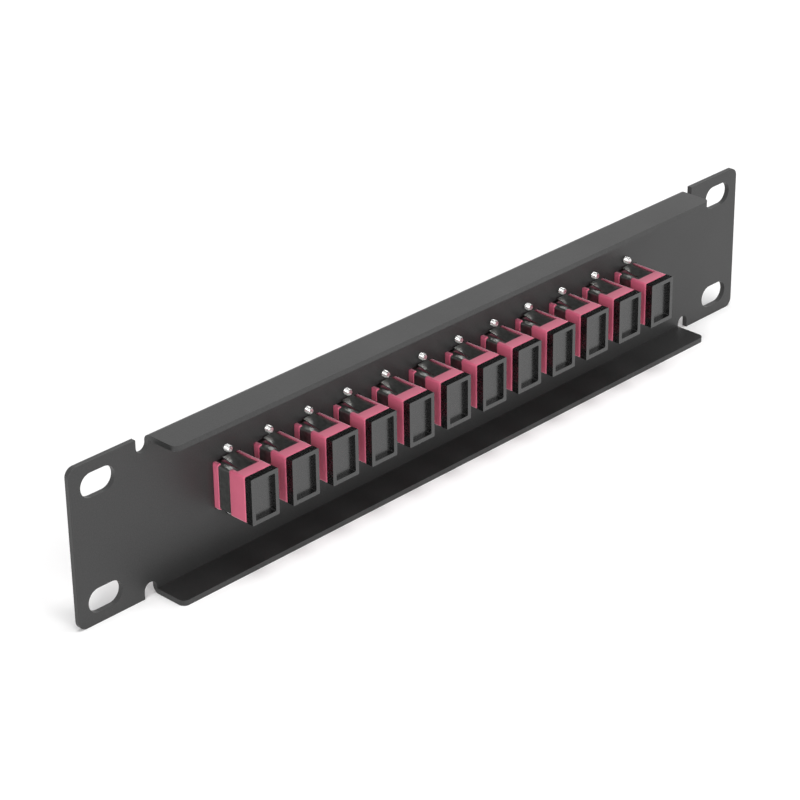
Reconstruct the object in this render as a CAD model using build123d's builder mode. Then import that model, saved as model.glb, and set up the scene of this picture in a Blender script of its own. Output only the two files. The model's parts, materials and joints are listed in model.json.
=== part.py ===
from build123d import *
import os

# Ten inch rack patch panel, one unit high, with twelve upright fibre adapters.
# Millimetres. X runs along the panel, +Y points to the rear, +Z is up.
# The origin is the middle of the four rack slots, on the rear face of the ears.

# Folded sheet panel
panel_width = 254.0
panel_height = 44.45
sheet = 1.5
ear_corner = 2.5
fold_inset = 25.0
flange_reach = 9.8
flange_corner = 1.8
bend_inside = 0.5
relief_width = 4.0
relief_depth = 4.2
sheet_edge = 0.1

# Rack slots
slot_inset = 8.7375
slot_pitch_z = 31.75
slot_length = 10.8
slot_width = 6.7

# Adapter row
adapter_count = 12
adapter_pitch = 14.0
window_clearance = 0.15

# Adapter housings, outside
body_width = 9.4
body_height = 13.0
body_edge = 0.6
mouth_edge = 0.5
rear_length = 11.4
front_length = 12.5
lug_height = 22.0
lug_half = 1.0
lug_corner = 1.2

# Adapter housings, inside
port_width = 7.5
port_height = 9.1
pocket_step = 0.35
key_width = 2.4
key_length = 5.0

# Spring clip and its seat in the rear housing
clip_sheet = 0.3
clip_bend = 0.3
clip_play = 0.05
clip_inset = 0.1
bed_edge = 0.3
seat_depth = 0.6
seat_length = 7.8
rim_width = 1.05
band_start = 1.75
band_width = 3.9
plate_start = -1.2
leaf_width = 4.0
leaf_slit = 0.2
leaf_tip = 0.4
leaf_root = 7.0
leaf_rise = 1.1

# Latch holders and split sleeve
holder_play = 0.05
tube_wall = 0.6
tube_length = 6.3
tube_lip = 0.45
tube_lip_step = 0.25
sleeve_outside = 1.6
sleeve_inside = 1.25
sleeve_length = 11.4
sleeve_slit = 0.5
sleeve_play = 0.05
arm_thick = 0.8
arm_width = 3.0
arm_length = 6.6
arm_gap = 0.25
hook_depth = 0.45
hook_length = 1.2

# Dust caps
cap_width = 9.2
cap_height = 13.0
cap_depth = 2.2
cap_edge = 0.3
cap_frame = 1.15
cap_recess = 1.2
cap_recess_corner = 0.35
plug_clearance = 0.08
plug_wall = 0.9
plug_web = 0.9
plug_length = 5.8
plug_nose = 0.3

# Screws that hold the adapters
screw_pitch = 18.0
screw_radius = 1.0
screw_length = 5.0
screw_nose = 0.3
head_radius = 1.9
head_height = 1.4
head_round = 0.6
drive_width = 0.5
drive_span = 2.2
drive_depth = 0.8
tap_play = 0.02
lug_hole_play = 0.15

# Places that follow from the sizes above
slot_pitch_x = panel_width - 2 * slot_inset
flange_length = panel_width - 2 * fold_inset
bend_outside = bend_inside + sheet
half_body_x = body_width / 2
half_body_z = body_height / 2
split_y = -sheet - lug_half
front_face_y = split_y - lug_half
rear_depth = rear_length - split_y
front_depth = front_length + lug_half
seat_floor = half_body_z - seat_depth
seat_half = half_body_x - rim_width
band_outer = half_body_x - clip_inset
band_inner = band_outer - clip_sheet
far = 2 * lug_height
adapter_x = [adapter_pitch * (i - (adapter_count - 1) / 2) for i in range(adapter_count)]
screw_z = [-screw_pitch / 2, screw_pitch / 2]


def upright(y):
    """The X-Z plane at depth y: sketch x is X, sketch y is Z, extrusions point to -Y."""
    return Plane(origin=(0, y, 0), x_dir=(1, 0, 0), z_dir=(0, -1, 0))


# Rack panel
with BuildPart() as rack_panel:
    # Flat sheet with a relief notch at each end of each fold
    notch_side = relief_depth - relief_width / 2
    notch_pitch = flange_length + relief_width
    with BuildSketch(upright(-sheet)):
        RectangleRounded(panel_width, panel_height, ear_corner)
        with GridLocations(notch_pitch, panel_height - 2 * notch_side, 2, 2):
            Circle(relief_width / 2, mode=Mode.SUBTRACT)
        with GridLocations(notch_pitch, panel_height - notch_side, 2, 2):
            Rectangle(relief_width, notch_side, mode=Mode.SUBTRACT)
        with GridLocations(0, panel_height - bend_outside, 1, 2):
            Rectangle(flange_length, bend_outside, mode=Mode.SUBTRACT)
    extrude(amount=-sheet)
    ear_ends = rack_panel.edges().filter_by(Axis.Z).group_by(Axis.X)
    fillet(ear_ends[0] + ear_ends[-1], sheet_edge)

    # Folded channel: top flange, web and bottom flange in one section
    with BuildSketch(Plane.YZ.offset(-flange_length / 2)) as channel:
        with BuildLine():
            Polyline(
                (flange_reach, panel_height / 2),
                (-sheet, panel_height / 2),
                (-sheet, -panel_height / 2),
                (flange_reach, -panel_height / 2),
                (flange_reach, -panel_height / 2 + sheet),
                (0, -panel_height / 2 + sheet),
                (0, panel_height / 2 - sheet),
                (flange_reach, panel_height / 2 - sheet),
                close=True,
            )
        make_face()
        channel_corners = channel.vertices().group_by(Axis.X)
        fillet(channel_corners[0], bend_outside)
        fillet(channel_corners[1], bend_inside)
    extrude(amount=flange_length)
    flange_tips = rack_panel.edges().filter_by(Axis.Z).group_by(Axis.Y)[-1]
    fillet(flange_tips, flange_corner)

    # Rack slots
    with BuildSketch(upright(-sheet)):
        with GridLocations(slot_pitch_x, slot_pitch_z, 2, 2):
            SlotOverall(slot_length, slot_width)
    extrude(amount=-sheet, mode=Mode.SUBTRACT)

    # Adapter windows and tapped holes
    with BuildSketch(upright(-sheet)):
        with GridLocations(adapter_pitch, 0, adapter_count, 1):
            Rectangle(body_width + 2 * window_clearance, body_height + 2 * window_clearance)
        with GridLocations(adapter_pitch, screw_pitch, adapter_count, 2):
            Circle(screw_radius + tap_play)
    extrude(amount=-sheet, mode=Mode.SUBTRACT)


def housing_shell(side, depth, face_y):
    """One half of an adapter: half a lug, the body tube, the port, the keyway, the pocket."""
    body_start = -sheet if side > 0 else front_face_y
    with BuildPart() as shell:
        with BuildSketch(upright(split_y)):
            RectangleRounded(body_width, lug_height, lug_corner)
        extrude(amount=-side * lug_half)
        with BuildSketch(upright(body_start)):
            RectangleRounded(body_width, body_height, body_edge)
        extrude(amount=-side * (depth - lug_half))
        mouth = shell.faces().sort_by(Axis.Y)[-1 if side > 0 else 0]
        fillet(mouth.edges(), mouth_edge)
        # Port right through
        with BuildSketch(upright(split_y)):
            Rectangle(port_width, port_height)
        extrude(amount=-side * depth, mode=Mode.SUBTRACT)
        # Pocket that traps the latch holder at the joint of the two halves
        with BuildSketch(upright(split_y)):
            Rectangle(port_width + 2 * pocket_step, port_height + 2 * pocket_step)
        extrude(amount=-side * lug_half, mode=Mode.SUBTRACT)
        # Keyway, open at the mouth, in the wall that faces -X
        with BuildSketch(upright(face_y)):
            with Locations((-half_body_x, 0)):
                Rectangle(body_width - port_width + 2 * pocket_step, key_width)
        extrude(amount=side * key_length, mode=Mode.SUBTRACT)
        # Clearance holes for the two screws
        with BuildSketch(upright(split_y)):
            with GridLocations(0, screw_pitch, 1, 2):
                Circle(screw_radius + lug_hole_play)
        extrude(amount=-side * lug_half, mode=Mode.SUBTRACT)
    return shell.part


# Front housing
with BuildPart() as front_housing:
    add(housing_shell(-1, front_depth, front_face_y - front_length))

# Rear housing, with the seat of the spring clip
with BuildPart() as rear_housing:
    add(housing_shell(1, rear_depth, rear_length))
    with BuildSketch(upright(-sheet)):
        with GridLocations(0, 2 * seat_floor + far, 1, 2):
            Rectangle(2 * seat_half, far)
    extrude(amount=-(seat_length + sheet), mode=Mode.SUBTRACT)
    with BuildSketch(upright(band_start - clip_play)):
        with Locations((half_body_x, 0)):
            Rectangle(2 * rim_width, far)
        with BuildLine():
            band_bed = FilletPolyline(
                (0, -seat_floor),
                (band_inner, -seat_floor),
                (band_inner, seat_floor),
                (0, seat_floor),
                radius=clip_bend,
            )
            Line(band_bed @ 1, band_bed @ 0)
        make_face(mode=Mode.SUBTRACT)
    extrude(amount=-(band_width + 2 * clip_play), mode=Mode.SUBTRACT)
    side_edges = rear_housing.edges().filter_by(Axis.Z).group_by(Axis.X)[-1]
    fillet(side_edges.filter_by_position(Axis.Y, 0, seat_length), bed_edge)

# Spring clip: one band round the side, a plate with a sprung leaf above and below
with BuildPart() as spring_clip:
    clip_top = seat_floor + clip_sheet
    with BuildSketch(upright(band_start)):
        with BuildLine():
            outside = FilletPolyline(
                (-seat_half + clip_play, -clip_top),
                (band_outer, -clip_top),
                (band_outer, clip_top),
                (-seat_half + clip_play, clip_top),
                radius=clip_bend + clip_sheet,
            )
            inside = FilletPolyline(
                (-seat_half + clip_play, -seat_floor),
                (band_inner, -seat_floor),
                (band_inner, seat_floor),
                (-seat_half + clip_play, seat_floor),
                radius=clip_bend,
            )
            Line(outside @ 0, inside @ 0)
            Line(outside @ 1, inside @ 1)
        make_face()
    extrude(amount=-band_width)
    plate_end = seat_length - clip_play
    with BuildSketch(upright(plate_start)):
        with GridLocations(0, 2 * seat_floor + clip_sheet, 1, 2):
            Rectangle(2 * (seat_half - clip_play), clip_sheet)
    extrude(amount=-(plate_end - plate_start))
    # Slot that the leaf is cut from
    slot_end = leaf_tip - leaf_slit
    with BuildSketch(Plane.XY):
        with Locations((0, (leaf_root + slot_end) / 2)):
            Rectangle(leaf_width + 2 * leaf_slit, leaf_root - slot_end)
    extrude(amount=half_body_z, both=True, mode=Mode.SUBTRACT)
    # Leaf, rising from its root towards the panel
    for way in (1, -1):
        with BuildSketch(Plane.YZ.offset(-leaf_width / 2)):
            with BuildLine():
                Polyline(
                    (leaf_root, way * seat_floor),
                    (leaf_root, way * clip_top),
                    (leaf_tip, way * (clip_top + leaf_rise)),
                    (leaf_tip, way * (seat_floor + leaf_rise)),
                    close=True,
                )
            make_face()
        extrude(amount=leaf_width)


def latch_holder(side):
    """Base plate, sleeve tube and two hooked arms, pointing out of one port."""
    tube_bore = sleeve_outside + sleeve_play
    arm_z = port_height / 2 - arm_gap - arm_thick / 2
    with BuildPart() as holder:
        with BuildSketch(upright(split_y)):
            Rectangle(port_width + 2 * (pocket_step - holder_play), port_height + 2 * (pocket_step - holder_play))
        extrude(amount=-side * lug_half)
        with BuildSketch(upright(split_y)):
            Circle(tube_bore + tube_wall)
        extrude(amount=-side * tube_length)
        with BuildSketch(upright(split_y)):
            with GridLocations(0, 2 * arm_z, 1, 2):
                Rectangle(arm_width, arm_thick)
        extrude(amount=-side * arm_length)
        hook_z = arm_z - (arm_thick + hook_depth) / 2
        with BuildSketch(upright(split_y + side * (arm_length - hook_length))):
            with GridLocations(0, 2 * hook_z, 1, 2):
                Rectangle(arm_width, hook_depth)
        extrude(amount=-side * hook_length)
        with BuildSketch(upright(split_y)):
            Circle(tube_bore)
        extrude(amount=-side * (tube_length - tube_lip), mode=Mode.SUBTRACT)
        with BuildSketch(upright(split_y)):
            Circle(tube_bore - tube_lip_step)
        extrude(amount=-side * tube_length, mode=Mode.SUBTRACT)
    return holder.part


# Split alignment sleeve, its slit towards -X
with BuildPart() as alignment_sleeve:
    with BuildSketch(upright(split_y + sleeve_length / 2)):
        Circle(sleeve_outside)
        Circle(sleeve_inside, mode=Mode.SUBTRACT)
        with Locations((-sleeve_outside, 0)):
            Rectangle(sleeve_outside, sleeve_slit, mode=Mode.SUBTRACT)
    extrude(amount=sleeve_length)


def dust_cap(side, mouth_y):
    """Framed cover outside the port and a hollow plug inside it."""
    with BuildPart() as cap:
        with BuildSketch(upright(mouth_y)):
            RectangleRounded(cap_width, cap_height, cap_edge)
        extrude(amount=-side * cap_depth)
        with BuildSketch(upright(mouth_y + side * cap_depth)):
            RectangleRounded(cap_width - 2 * cap_frame, cap_height - 2 * cap_frame, cap_recess_corner)
        extrude(amount=side * cap_recess, mode=Mode.SUBTRACT)
        plug_width = port_width - 2 * plug_clearance
        plug_height = port_height - 2 * plug_clearance
        with BuildSketch(upright(mouth_y)):
            Rectangle(plug_width, plug_height)
        extrude(amount=side * plug_length)
        nose = cap.faces().sort_by(Axis.Y)[0 if side > 0 else -1]
        chamfer(nose.edges(), plug_nose)
        with BuildSketch(upright(mouth_y - side * plug_length)):
            Rectangle(plug_width - 2 * plug_wall, plug_height - 2 * plug_wall)
        extrude(amount=-side * (plug_length - plug_web), mode=Mode.SUBTRACT)
    return cap.part


# Pan head screw with a cross drive, through the lugs into the panel
with BuildPart() as screw:
    with BuildSketch(Plane.XY):
        with BuildLine():
            Polyline(
                (0, front_face_y - head_height),
                (head_radius - head_round, front_face_y - head_height),
                (head_radius, front_face_y - head_height + head_round),
                (head_radius, front_face_y),
                (screw_radius, front_face_y),
                (screw_radius, front_face_y + screw_length - screw_nose),
                (screw_radius - screw_nose, front_face_y + screw_length),
                (0, front_face_y + screw_length),
                close=True,
            )
        make_face()
    revolve(axis=Axis.Y)
    with BuildSketch(upright(front_face_y - head_height)):
        Rectangle(drive_span, drive_width)
        Rectangle(drive_width, drive_span)
    extrude(amount=-drive_depth, mode=Mode.SUBTRACT)

# One node for each piece of each adapter that shows or moves
each_adapter = {
    "rear_housing": rear_housing.part,
    "front_housing": front_housing.part,
    "rear_dust_cap": dust_cap(1, rear_length),
    "front_dust_cap": dust_cap(-1, front_face_y - front_length),
}

# Like pieces that share a node, each a separate solid
row_spots = [(x, 0, 0) for x in adapter_x]
screw_spots = [(x, 0, z) for x in adapter_x for z in screw_z]
shared_nodes = {
    "spring_clips": (spring_clip.part, row_spots),
    "rear_latch_holders": (latch_holder(1), row_spots),
    "front_latch_holders": (latch_holder(-1), row_spots),
    "alignment_sleeves": (alignment_sleeve.part, row_spots),
    "mounting_screws": (screw.part, screw_spots),
}

os.makedirs("parts", exist_ok=True)
rack_panel.part.label = "rack_panel"
export_step(rack_panel.part, "parts/rack_panel.step")

for name, piece in each_adapter.items():
    for number, spot in enumerate(row_spots, start=1):
        with BuildPart() as placed:
            with Locations(spot):
                add(piece)
        placed.part.label = f"{name}_{number:02d}"
        export_step(placed.part, f"parts/{placed.part.label}.step")

for name, (piece, spots) in shared_nodes.items():
    with BuildPart() as group:
        with Locations(*spots):
            add(piece)
    group.part.label = name
    export_step(group.part, f"parts/{name}.step")
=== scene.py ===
import json
import math

import bmesh
import bpy
from mathutils import Matrix, Vector


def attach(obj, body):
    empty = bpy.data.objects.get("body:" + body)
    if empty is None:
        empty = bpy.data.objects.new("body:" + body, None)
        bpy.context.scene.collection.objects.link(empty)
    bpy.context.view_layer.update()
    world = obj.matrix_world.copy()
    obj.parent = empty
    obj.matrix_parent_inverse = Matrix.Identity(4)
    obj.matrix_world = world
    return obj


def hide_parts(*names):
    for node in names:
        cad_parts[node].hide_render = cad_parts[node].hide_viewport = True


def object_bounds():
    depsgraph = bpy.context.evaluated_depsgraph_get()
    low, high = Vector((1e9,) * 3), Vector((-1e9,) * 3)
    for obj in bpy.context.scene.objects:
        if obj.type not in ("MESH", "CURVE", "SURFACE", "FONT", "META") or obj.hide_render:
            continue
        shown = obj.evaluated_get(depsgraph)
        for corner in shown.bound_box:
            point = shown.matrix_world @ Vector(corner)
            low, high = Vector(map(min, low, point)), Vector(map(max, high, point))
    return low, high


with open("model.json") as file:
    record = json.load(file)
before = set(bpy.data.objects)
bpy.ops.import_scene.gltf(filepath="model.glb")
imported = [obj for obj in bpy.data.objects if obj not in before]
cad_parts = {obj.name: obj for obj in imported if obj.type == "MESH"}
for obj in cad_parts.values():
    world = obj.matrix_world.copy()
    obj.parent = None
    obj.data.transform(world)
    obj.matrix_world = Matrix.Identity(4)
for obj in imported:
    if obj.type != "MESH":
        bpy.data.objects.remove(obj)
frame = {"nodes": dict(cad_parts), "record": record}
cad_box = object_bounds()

MM = 0.001
WHITE = (1.0, 1.0, 1.0, 1.0)

# Screws, in metres. They lie along Y, with the flat side of the head on the adapter's lug.
SCREW_PITCH = 18.0 * MM
SCREW_RADIUS = 0.98 * MM
SCREW_LENGTH = 5.0 * MM
SCREW_TURN = 67
THREAD_PITCH = 0.4 * MM
THREAD_DEPTH = 0.2 * MM
THREAD_FLANK = 2.6
NOSE_LENGTH = 0.35 * MM
NOSE_SHARE = 0.68
HEAD_RADIUS = 1.9 * MM
HEAD_HEIGHT = 1.4 * MM
HEAD_SEAT = -3.5 * MM

# Pan head, as shares of its radius and height
HEAD_FOOT = 0.93
HEAD_CHAMFER = 0.05
HEAD_WALL = 0.42
HEAD_CROWN = 0.55
DOME_RINGS = 9

# Cross drive, in millimetres: length and width of one slot at its mouth and at its floor
DRIVE_MOUTH = (2.4, 0.52)
DRIVE_FLOOR = (1.0, 0.34)
DRIVE_ABOVE = 0.2
DRIVE_LEFT = 0.45

# Edge roundings by finish, in millimetres, and the angles in degrees that pick the edges
EDGE_ROUNDING = {"powder_coat": 0.14, "housing_plastic": 0.15, "cap_plastic": 0.1, "clip_steel": 0.05}
FLAT_ANGLE = 0.5
EDGE_ANGLE = 35
SMOOTH_ANGLE = 32

# Most of a noise lies between these two values
NOISE_LOW, NOISE_HIGH = 0.3, 0.7

# Floor, in metres: half its side, and where it turns to plain white
FLOOR_REACH = 6.0
FLOOR_ALBEDO = 0.97
FADE_START, FADE_END = 0.9, 2.2

# Studio light: name, place in metres and power in watts of each square lamp
WORLD_LEVEL = 0.4
LAMP_SIDE = 1.2
LAMP_AIM = Vector((0, 0, 0))
LAMPS = [
    ("side", (2.42, 0.97, 1.02), 31.0),
    ("rear", (0.28, 2.70, 0.71), 37.0),
    ("top", (0.0, 0.28, 2.79), 41.0),
    ("edge", (-2.03, 1.46, 1.96), 14.0),
]


# Node helpers
def new_material(name):
    """A material with its node tree and its Principled shader."""
    material = bpy.data.materials.new(name)
    material.use_nodes = True
    shader = material.node_tree.nodes["Principled BSDF"]
    return material, material.node_tree, shader


def node(tree, kind, **settings):
    made = tree.nodes.new(kind)
    for key, value in settings.items():
        setattr(made, key, value)
    return made


def noise(tree, scale, detail=2.0, roughness=0.5):
    """Noise over the object's own coordinates, scale in cells per metre."""
    place = node(tree, "ShaderNodeTexCoord")
    made = node(tree, "ShaderNodeTexNoise")
    made.inputs["Scale"].default_value = scale
    made.inputs["Detail"].default_value = detail
    made.inputs["Roughness"].default_value = roughness
    tree.links.new(place.outputs["Object"], made.inputs["Vector"])
    return made.outputs["Fac"]


def ramp(tree, factor, stops):
    """Colour ramp from two (position, colour) stops."""
    made = node(tree, "ShaderNodeValToRGB")
    for point, (position, colour) in zip(made.color_ramp.elements, stops):
        point.position = position
        point.color = (*colour, 1.0)
    tree.links.new(factor, made.inputs["Fac"])
    return made.outputs["Color"]


def spread(tree, factor, low, high):
    """The factor stretched to run from low to high."""
    made = node(tree, "ShaderNodeMapRange")
    made.inputs["From Min"].default_value = NOISE_LOW
    made.inputs["From Max"].default_value = NOISE_HIGH
    made.inputs["To Min"].default_value = low
    made.inputs["To Max"].default_value = high
    tree.links.new(factor, made.inputs["Value"])
    return made.outputs["Result"]


def bump(tree, height, strength, distance, under=None):
    made = node(tree, "ShaderNodeBump")
    made.inputs["Strength"].default_value = strength
    made.inputs["Distance"].default_value = distance
    tree.links.new(height, made.inputs["Height"])
    if under is not None:
        tree.links.new(under, made.inputs["Normal"])
    return made.outputs["Normal"]


def background_rays(tree):
    """1 for the rays that show the background: from the camera, mirrored, or let through."""
    path = node(tree, "ShaderNodeLightPath")
    seen_or_mirrored = node(tree, "ShaderNodeMath", operation="MAXIMUM")
    tree.links.new(path.outputs["Is Camera Ray"], seen_or_mirrored.inputs[0])
    tree.links.new(path.outputs["Is Glossy Ray"], seen_or_mirrored.inputs[1])
    either = node(tree, "ShaderNodeMath", operation="MAXIMUM")
    tree.links.new(seen_or_mirrored.outputs[0], either.inputs[0])
    tree.links.new(path.outputs["Is Transmission Ray"], either.inputs[1])
    return either.outputs[0]


def mix(tree, factor, first, second, output):
    """Joins two shaders by the factor, and puts the result on the tree's output."""
    mixed = node(tree, "ShaderNodeMixShader")
    tree.links.new(factor, mixed.inputs[0])
    tree.links.new(first.outputs[0], mixed.inputs[1])
    tree.links.new(second.outputs[0], mixed.inputs[2])
    tree.links.new(mixed.outputs[0], tree.nodes[output].inputs["Surface"])


# Materials
def powder_coat():
    """Black coat with a fine grain, over slow waves in its gloss."""
    material, tree, shader = new_material("powder_coat")
    grain = noise(tree, scale=2600, detail=3.0, roughness=0.6)
    waves = noise(tree, scale=700)
    tree.links.new(ramp(tree, grain, [(0.3, (0.007, 0.007, 0.007)), (0.75, (0.019, 0.019, 0.019))]),
                   shader.inputs["Base Color"])
    tree.links.new(spread(tree, noise(tree, scale=45), low=0.42, high=0.48), shader.inputs["Roughness"])
    fine = bump(tree, grain, strength=0.5, distance=0.06 * MM)
    tree.links.new(bump(tree, waves, strength=0.25, distance=0.05 * MM, under=fine), shader.inputs["Normal"])
    shader.inputs["Specular IOR Level"].default_value = 0.58
    return material


def housing_plastic():
    """Pink moulded plastic, with a pale haze where it is seen at a low angle."""
    material, tree, shader = new_material("housing_plastic")
    flow = noise(tree, scale=160)
    skin = noise(tree, scale=1800)
    tree.links.new(ramp(tree, flow, [(0.25, (0.55, 0.096, 0.172)), (0.8, (0.62, 0.117, 0.198))]),
                   shader.inputs["Base Color"])
    tree.links.new(spread(tree, skin, low=0.48, high=0.58), shader.inputs["Roughness"])
    tree.links.new(bump(tree, skin, strength=0.18, distance=0.03 * MM), shader.inputs["Normal"])
    shader.inputs["Specular IOR Level"].default_value = 0.6
    shader.inputs["Sheen Weight"].default_value = 1.0
    shader.inputs["Sheen Roughness"].default_value = 0.35
    return material


def cap_plastic():
    """Black glossy plastic."""
    material, tree, shader = new_material("cap_plastic")
    skin = noise(tree, scale=2200, detail=3.0, roughness=0.6)
    tree.links.new(ramp(tree, skin, [(0.3, (0.002, 0.002, 0.002)), (0.75, (0.005, 0.005, 0.005))]),
                   shader.inputs["Base Color"])
    tree.links.new(spread(tree, skin, low=0.23, high=0.31), shader.inputs["Roughness"])
    tree.links.new(bump(tree, skin, strength=0.05, distance=0.03 * MM), shader.inputs["Normal"])
    shader.inputs["Specular IOR Level"].default_value = 0.95
    return material


def clip_steel():
    """Dark spring steel."""
    material, tree, shader = new_material("clip_steel")
    rolled = noise(tree, scale=900, detail=3.0)
    waves = noise(tree, scale=300)
    shader.inputs["Metallic"].default_value = 1.0
    tree.links.new(ramp(tree, rolled, [(0.3, (0.33, 0.34, 0.33)), (0.75, (0.44, 0.45, 0.44))]),
                   shader.inputs["Base Color"])
    tree.links.new(spread(tree, rolled, low=0.28, high=0.36), shader.inputs["Roughness"])
    tree.links.new(bump(tree, waves, strength=0.2, distance=0.04 * MM), shader.inputs["Normal"])
    return material


def screw_steel():
    """Bright plated steel."""
    material, tree, shader = new_material("screw_steel")
    plating = noise(tree, scale=1500)
    shader.inputs["Metallic"].default_value = 1.0
    tree.links.new(ramp(tree, plating, [(0.3, (0.80, 0.80, 0.79)), (0.7, (0.92, 0.92, 0.91))]),
                   shader.inputs["Base Color"])
    tree.links.new(spread(tree, plating, low=0.15, high=0.28), shader.inputs["Roughness"])
    tree.links.new(bump(tree, plating, strength=0.1, distance=0.02 * MM), shader.inputs["Normal"])
    return material


def holder_plastic():
    """Ivory plastic of the latch holders."""
    material, tree, shader = new_material("holder_plastic")
    skin = noise(tree, scale=1500)
    tree.links.new(ramp(tree, skin, [(0.3, (0.66, 0.64, 0.58)), (0.7, (0.74, 0.72, 0.66))]),
                   shader.inputs["Base Color"])
    tree.links.new(spread(tree, skin, low=0.4, high=0.5), shader.inputs["Roughness"])
    return material


def sleeve_ceramic():
    """White polished ceramic."""
    material, tree, shader = new_material("sleeve_ceramic")
    body = noise(tree, scale=800)
    tree.links.new(ramp(tree, body, [(0.3, (0.84, 0.84, 0.80)), (0.7, (0.90, 0.90, 0.87))]),
                   shader.inputs["Base Color"])
    tree.links.new(spread(tree, body, low=0.08, high=0.14), shader.inputs["Roughness"])
    return material


finishes = {
    "powder_coat": powder_coat(),
    "housing_plastic": housing_plastic(),
    "cap_plastic": cap_plastic(),
    "clip_steel": clip_steel(),
    "screw_steel": screw_steel(),
    "holder_plastic": holder_plastic(),
    "sleeve_ceramic": sleeve_ceramic(),
}


def dress_cad_nodes():
    """Each CAD node takes the finish of its material slot, and small edge roundings."""
    slots = {entry["node"]: entry["material_slot"] for entry in frame["record"]["subparts"]}
    for name, piece in frame["nodes"].items():
        piece.data.materials.clear()
        piece.data.materials.append(finishes[slots[name]])
        if slots[name] in EDGE_ROUNDING:
            merged = piece.modifiers.new("flat_faces", "DECIMATE")
            merged.decimate_type = "DISSOLVE"
            merged.angle_limit = math.radians(FLAT_ANGLE)
            rounded = piece.modifiers.new("edges", "BEVEL")
            rounded.width = EDGE_ROUNDING[slots[name]] * MM
            rounded.segments = 3
            rounded.limit_method = "ANGLE"
            rounded.angle_limit = math.radians(EDGE_ANGLE)
            rounded.harden_normals = True
            rounded.use_clamp_overlap = True


dress_cad_nodes()


# Mesh helpers
def link_object(name, data):
    made = bpy.data.objects.new(name, data)
    bpy.context.collection.objects.link(made)
    return made


def mesh_from(bm, name):
    """The finished mesh of a bmesh, which is freed."""
    mesh = bpy.data.meshes.new(name)
    bm.to_mesh(mesh)
    bm.free()
    return mesh


def add_ring(bm, radii, y):
    """Ring of vertices round the Y axis, one for each radius."""
    ring = []
    for i, radius in enumerate(radii):
        angle = math.tau * i / len(radii)
        ring.append(bm.verts.new((radius * math.cos(angle), y, radius * math.sin(angle))))
    return ring


def skin_rings(bm, rings, start, end):
    """Quads between neighbouring rings, closed with fans to the points at y = start and y = end."""
    for first, second in zip(rings, rings[1:]):
        for i in range(len(first)):
            j = (i + 1) % len(first)
            bm.faces.new((first[i], first[j], second[j], second[i]))
    for ring, y in ((rings[-1], end), (rings[0], start)):
        middle = bm.verts.new((0, y, 0))
        for i in range(len(ring)):
            bm.faces.new((ring[i], ring[(i + 1) % len(ring)], middle))


def threaded_shank(bm, segments=28, steps=7):
    """Rolled thread from under the head to the nose, with the steps per turn given."""
    tip = HEAD_SEAT + SCREW_LENGTH
    count = round(SCREW_LENGTH / THREAD_PITCH * steps)
    rings = []
    for k in range(count + 1):
        y = HEAD_SEAT + SCREW_LENGTH * k / count
        nose = SCREW_RADIUS * (NOSE_SHARE + (1 - NOSE_SHARE) * (tip - y) / NOSE_LENGTH)
        radii = []
        for i in range(segments):
            turn = (y / THREAD_PITCH - i / segments) % 1.0
            crest = min(1.0, THREAD_FLANK * abs(turn - 0.5))
            radii.append(min(SCREW_RADIUS - THREAD_DEPTH * (1.0 - crest), nose))
        rings.append(add_ring(bm, radii, y))
    skin_rings(bm, rings, HEAD_SEAT, tip)


def pan_head(bm, segments=48):
    """Domed round head, its flat side on the lug."""
    profile = [(HEAD_FOOT, 0.0), (1.0, HEAD_CHAMFER), (1.0, HEAD_WALL)]
    for k in range(1, DOME_RINGS):
        angle = math.radians(90 * k / DOME_RINGS)
        profile.append((HEAD_CROWN + (1 - HEAD_CROWN) * math.cos(angle),
                        HEAD_WALL + (1 - HEAD_WALL) * math.sin(angle)))
    rings = [add_ring(bm, [HEAD_RADIUS * wide] * segments, HEAD_SEAT - HEAD_HEIGHT * high)
             for wide, high in profile]
    skin_rings(bm, rings, HEAD_SEAT, HEAD_SEAT - HEAD_HEIGHT)


def cross_recess():
    """Cutter for the cross drive: two crossed wedges that narrow into the head."""
    bm = bmesh.new()
    mouth = HEAD_SEAT - HEAD_HEIGHT - DRIVE_ABOVE * MM
    floor = HEAD_SEAT - DRIVE_LEFT * MM
    for turn in (0, 90):
        wedge = bmesh.ops.create_cube(bm, size=1.0)["verts"]
        for v in wedge:
            deep = v.co.y > 0
            length, width = DRIVE_FLOOR if deep else DRIVE_MOUTH
            v.co.x *= length * MM
            v.co.z *= width * MM
            v.co.y = floor if deep else mouth
        bmesh.ops.rotate(bm, verts=wedge, cent=(0, 0, 0), matrix=Matrix.Rotation(math.radians(turn), 3, "Y"))
    return link_object("cross_recess", mesh_from(bm, "cross_recess"))


def cut_away(body, cutter):
    """The body's mesh with the cutter's shape taken out. Both objects go."""
    cut = body.modifiers.new("cut", "BOOLEAN")
    cut.operation = "DIFFERENCE"
    cut.object = cutter
    cut.solver = "EXACT"
    cut.use_self = True
    bpy.context.view_layer.update()
    done = bpy.data.meshes.new_from_object(body.evaluated_get(bpy.context.evaluated_depsgraph_get()))
    bpy.data.objects.remove(cutter)
    bpy.data.objects.remove(body)
    return done


def screw_mesh():
    """One screw round the Y axis: pan head with a cross drive, and a threaded shank."""
    bm = bmesh.new()
    pan_head(bm)
    bmesh.ops.recalc_face_normals(bm, faces=bm.faces)
    head = cut_away(link_object("screw_head", mesh_from(bm, "screw_head")), cross_recess())
    bm = bmesh.new()
    bm.from_mesh(head)
    threaded_shank(bm)
    bmesh.ops.recalc_face_normals(bm, faces=bm.faces)
    mesh = mesh_from(bm, "screw")
    mesh.shade_smooth()
    mesh.set_sharp_from_angle(angle=math.radians(SMOOTH_ANGLE))
    mesh.materials.append(finishes["screw_steel"])
    return mesh


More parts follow.
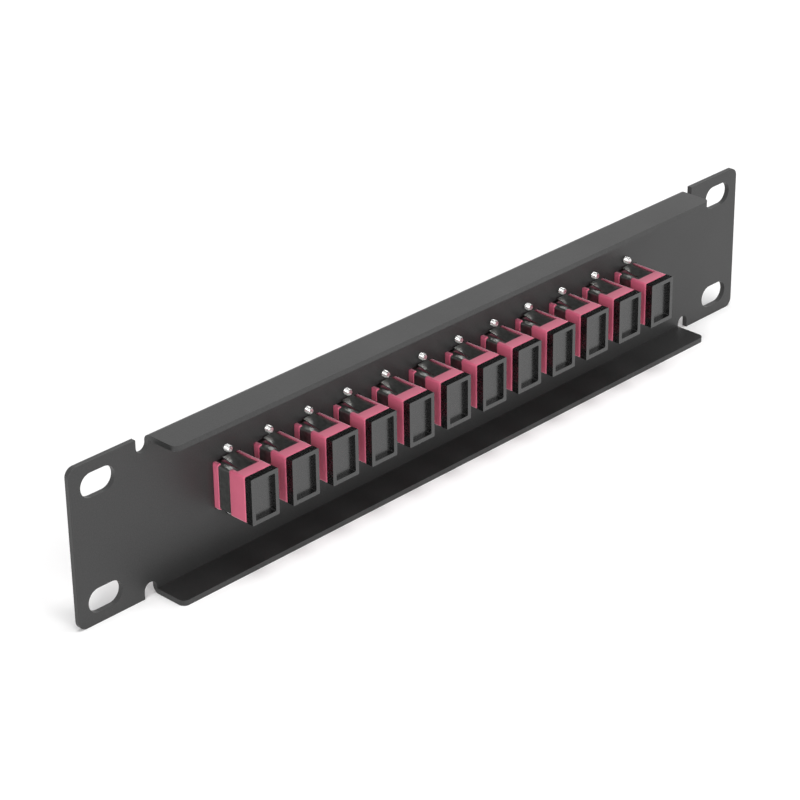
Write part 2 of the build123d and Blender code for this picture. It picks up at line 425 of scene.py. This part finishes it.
def middle_x(piece):
    """Middle of a CAD node across the panel, in metres."""
    places = [(piece.matrix_world @ vertex.co).x for vertex in piece.data.vertices]
    return (min(places) + max(places)) / 2


def make_screws():
    """Two threaded screws for each adapter, in place of the plain ones."""
    mesh = screw_mesh()
    housings = sorted(name for name in frame["nodes"] if name.startswith("rear_housing_"))
    spots = [(middle_x(frame["nodes"][name]), 0, z)
             for name in housings for z in (-SCREW_PITCH / 2, SCREW_PITCH / 2)]
    for number, spot in enumerate(spots, start=1):
        screw = link_object(f"mounting_screw_{number:02d}", mesh.copy())
        turn = Matrix.Rotation(math.radians(SCREW_TURN * number % 360), 4, "Y")
        screw.data.transform(Matrix.Translation(spot) @ turn)
        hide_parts("mounting_screws")
        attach(screw, "panel")


make_screws()


def make_floor():
    """Pale floor that the panel stands on, plain white where it is far from the panel."""
    level = cad_box[0].z
    mesh = bpy.data.meshes.new("floor")
    signs = [(-1, -1), (1, -1), (1, 1), (-1, 1)]
    mesh.from_pydata([(FLOOR_REACH * x, FLOOR_REACH * y, level) for x, y in signs], [], [(0, 1, 2, 3)])
    material, tree, shader = new_material("floor")
    shader.inputs["Base Color"].default_value = (FLOOR_ALBEDO, FLOOR_ALBEDO, FLOOR_ALBEDO, 1.0)
    shader.inputs["Roughness"].default_value = 0.9
    shader.inputs["Specular IOR Level"].default_value = 0.0
    place = node(tree, "ShaderNodeTexCoord")
    away = node(tree, "ShaderNodeVectorMath", operation="LENGTH")
    tree.links.new(place.outputs["Object"], away.inputs[0])
    far = node(tree, "ShaderNodeMapRange", interpolation_type="SMOOTHSTEP")
    far.inputs["From Min"].default_value = FADE_START
    far.inputs["From Max"].default_value = FADE_END
    tree.links.new(away.outputs["Value"], far.inputs["Value"])
    share = node(tree, "ShaderNodeMath", operation="MULTIPLY")
    tree.links.new(far.outputs["Result"], share.inputs[0])
    tree.links.new(background_rays(tree), share.inputs[1])
    white = node(tree, "ShaderNodeEmission")
    white.inputs["Color"].default_value = WHITE
    white.inputs["Strength"].default_value = 1.0
    mix(tree, share.outputs[0], shader, white, "Material Output")
    mesh.materials.append(material)
    link_object("floor", mesh)


make_floor()


def make_world():
    """Even light on the object, and a white background behind it and in its reflections."""
    world = bpy.data.worlds.new("studio")
    bpy.context.scene.world = world
    world.use_nodes = True
    tree = world.node_tree
    light = tree.nodes["Background"]
    light.inputs["Color"].default_value = WHITE
    light.inputs["Strength"].default_value = WORLD_LEVEL
    seen = node(tree, "ShaderNodeBackground")
    seen.inputs["Color"].default_value = WHITE
    seen.inputs["Strength"].default_value = 1.0
    mix(tree, background_rays(tree), light, seen, "World Output")


def make_lamps():
    for name, place, power in LAMPS:
        lamp = bpy.data.lights.new(name, "AREA")
        lamp.shape = "SQUARE"
        lamp.size = LAMP_SIDE
        lamp.energy = power
        made = link_object(name, lamp)
        made.location = place
        made.rotation_mode = "QUATERNION"
        made.rotation_quaternion = (LAMP_AIM - Vector(place)).to_track_quat("-Z", "Y")


make_world()
make_lamps()


def make_camera():
    """The photo's camera, fitted to the panel's outline and rack slots."""
    turn = math.radians(45.569)
    lift = math.radians(27.050)
    roll = math.radians(-0.812)
    distance = 0.73881
    aim_right, aim_up = 0.010608, 0.006000
    focal_pixels, image_width = 2762.5, 800
    back = Vector((math.sin(turn) * math.cos(lift), math.cos(turn) * math.cos(lift), math.sin(lift)))
    level_right = (-back).cross(Vector((0, 0, 1))).normalized()
    level_up = level_right.cross(-back)
    right = level_right * math.cos(roll) + level_up * math.sin(roll)
    up = level_up * math.cos(roll) - level_right * math.sin(roll)
    place = back * distance - right * aim_right - up * aim_up
    camera = bpy.data.cameras.new("camera")
    camera.sensor_width = 36.0
    camera.lens = focal_pixels / image_width * camera.sensor_width
    camera.clip_start = 0.01
    camera.clip_end = 50
    made = link_object("camera", camera)
    made.matrix_world = Matrix.Translation(place) @ Matrix((right, up, back)).transposed().to_4x4()
    bpy.context.scene.camera = made


make_camera()

bpy.context.scene.view_settings.view_transform = "Standard"
